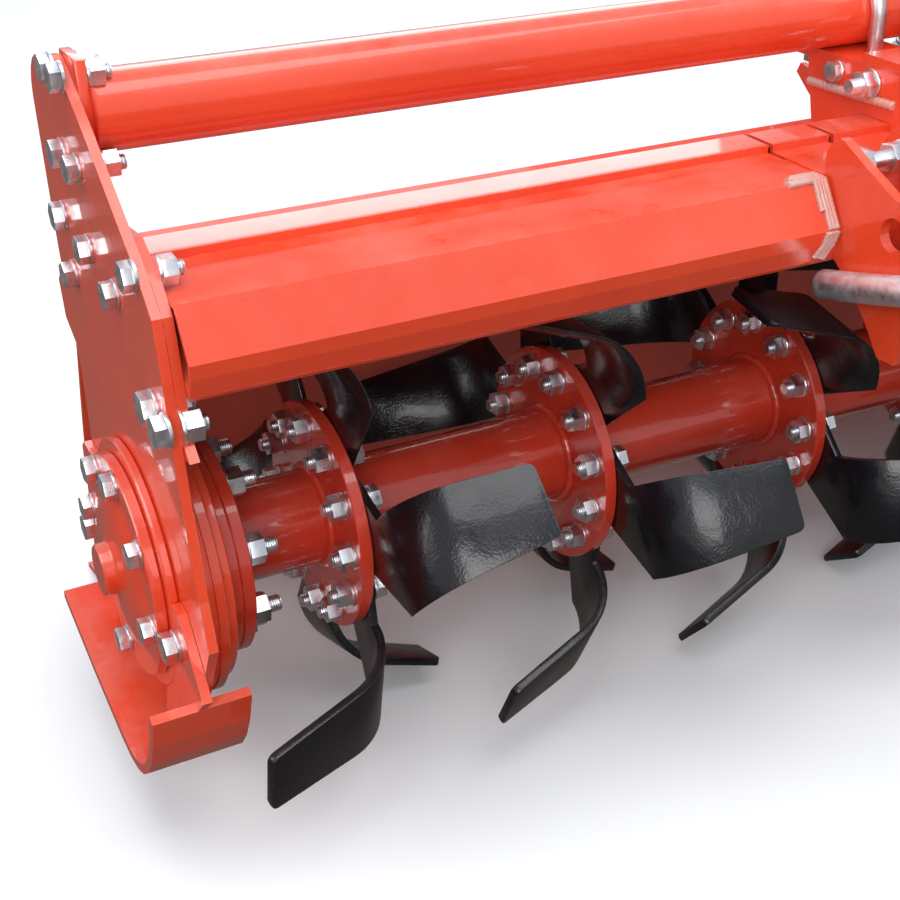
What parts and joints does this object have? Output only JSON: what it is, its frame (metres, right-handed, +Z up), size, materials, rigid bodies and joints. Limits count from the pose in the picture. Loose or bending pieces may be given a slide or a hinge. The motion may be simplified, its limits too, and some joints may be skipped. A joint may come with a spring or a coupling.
{
  "type": "rotavator",
  "caption": "Tractor-mounted rotary tiller with bladed rotor under a hood, top gearbox, side gear case, A-frame hitch, skids and a hinged trailing board.",
  "frame": {"origin": "on the ground, under the middle of the machine's outline", "axes": "+X along the rotor from the plain end to the gear case end, -Y towards the tractor, +Z up"},
  "size_m": [2.2186, 0.714, 1.0914],
  "materials": {
    "red_paint": "gloss",
    "rotor_red": "gloss",
    "black_paint": "gloss",
    "black_plastic": "satin",
    "zinc_plate": "bright zinc plate",
    "bare_steel": "bare"
  },
  "bodies": {
    "frame": {"side_plate_left": "red_paint", "side_plate_right": "red_paint", "hood_end_plate_left": "red_paint", "hood_end_plate_right": "red_paint", "main_tube_left": "red_paint", "main_tube_right": "red_paint", "bearing_seal_left": "red_paint", "bearing_seal_right": "red_paint", "skid_left": "red_paint", "skid_right": "red_paint", "hitch_lug_left": "red_paint", "hitch_lug_right": "red_paint", "mast_bracket_left": "red_paint", "mast_bracket_right": "red_paint", "mast_brace_left": "red_paint", "mast_brace_right": "red_paint", "hood_shell": "red_paint", "deck_beam_left": "red_paint", "deck_beam_middle": "red_paint", "deck_beam_right": "red_paint", "rear_rail": "red_paint", "bearing_housing_left": "red_paint", "bearing_cover_left": "red_paint", "side_gear_case": "red_paint", "side_case_cover": "red_paint", "mast": "red_paint", "gearbox": "red_paint", "gearbox_rear_cover": "red_paint", "input_bearing_cover": "red_paint", "pto_shield": "black_plastic", "hinge_rod": "zinc_plate", "u_bolt_left": "zinc_plate", "u_bolt_right": "zinc_plate", "top_link_pin": "zinc_plate", "guard_hoop": "zinc_plate"},
    "rotor": {"rotor_tube": "rotor_red", "rotor_stub_left": "rotor_red", "rotor_stub_right": "rotor_red", "blade_flange_1": "black_paint", "blade_flange_2": "black_paint", "blade_flange_3": "black_paint", "blade_flange_4": "black_paint", "blade_flange_5": "black_paint", "blade_flange_6": "black_paint", "blade_flange_7": "black_paint", "blade_flange_8": "black_paint"},
    "input_shaft": {"input_shaft": "bare_steel"},
    "trailing_board": {"trailing_board": "red_paint"},
    "spring_rod_left": {"spring_rod_left": "zinc_plate", "rod_spring_left": "bare_steel"},
    "spring_rod_right": {"spring_rod_right": "zinc_plate", "rod_spring_right": "bare_steel"}
  },
  "joints": [
    {"name": "rotor_spin", "type": "hinge", "parent": "frame", "child": "rotor", "pos_m": [-0.0263, -0.0241, 0.24241], "axis": [1, 0, 0], "continuous": true},
    {"name": "input_shaft_spin", "type": "hinge", "parent": "frame", "child": "input_shaft", "pos_m": [-0.0263, -0.0841, 0.61741], "axis": [0, 1, 0], "continuous": true},
    {"name": "trailing_board_hinge", "type": "hinge", "parent": "frame", "child": "trailing_board", "pos_m": [-0.0263, 0.2159, 0.36041], "axis": [1, 0, 0], "range_deg": [0, 38]},
    {"name": "spring_rod_left_pivot", "type": "hinge", "parent": "trailing_board", "child": "spring_rod_left", "pos_m": [-0.0863, 0.3209, 0.22241], "axis": [1, 0, 0], "range_deg": [-14.25, 0]},
    {"name": "spring_rod_right_pivot", "type": "hinge", "parent": "trailing_board", "child": "spring_rod_right", "pos_m": [0.0337, 0.3209, 0.22241], "axis": [1, 0, 0], "range_deg": [-14.25, 0]}
  ],
  "couplings": [
    {"joint": "input_shaft_spin", "follows": "rotor_spin", "ratio": -2.55},
    {"joint": "spring_rod_left_pivot", "follows": "trailing_board_hinge", "ratio": -0.375},
    {"joint": "spring_rod_right_pivot", "follows": "trailing_board_hinge", "ratio": -0.375}
  ]
}
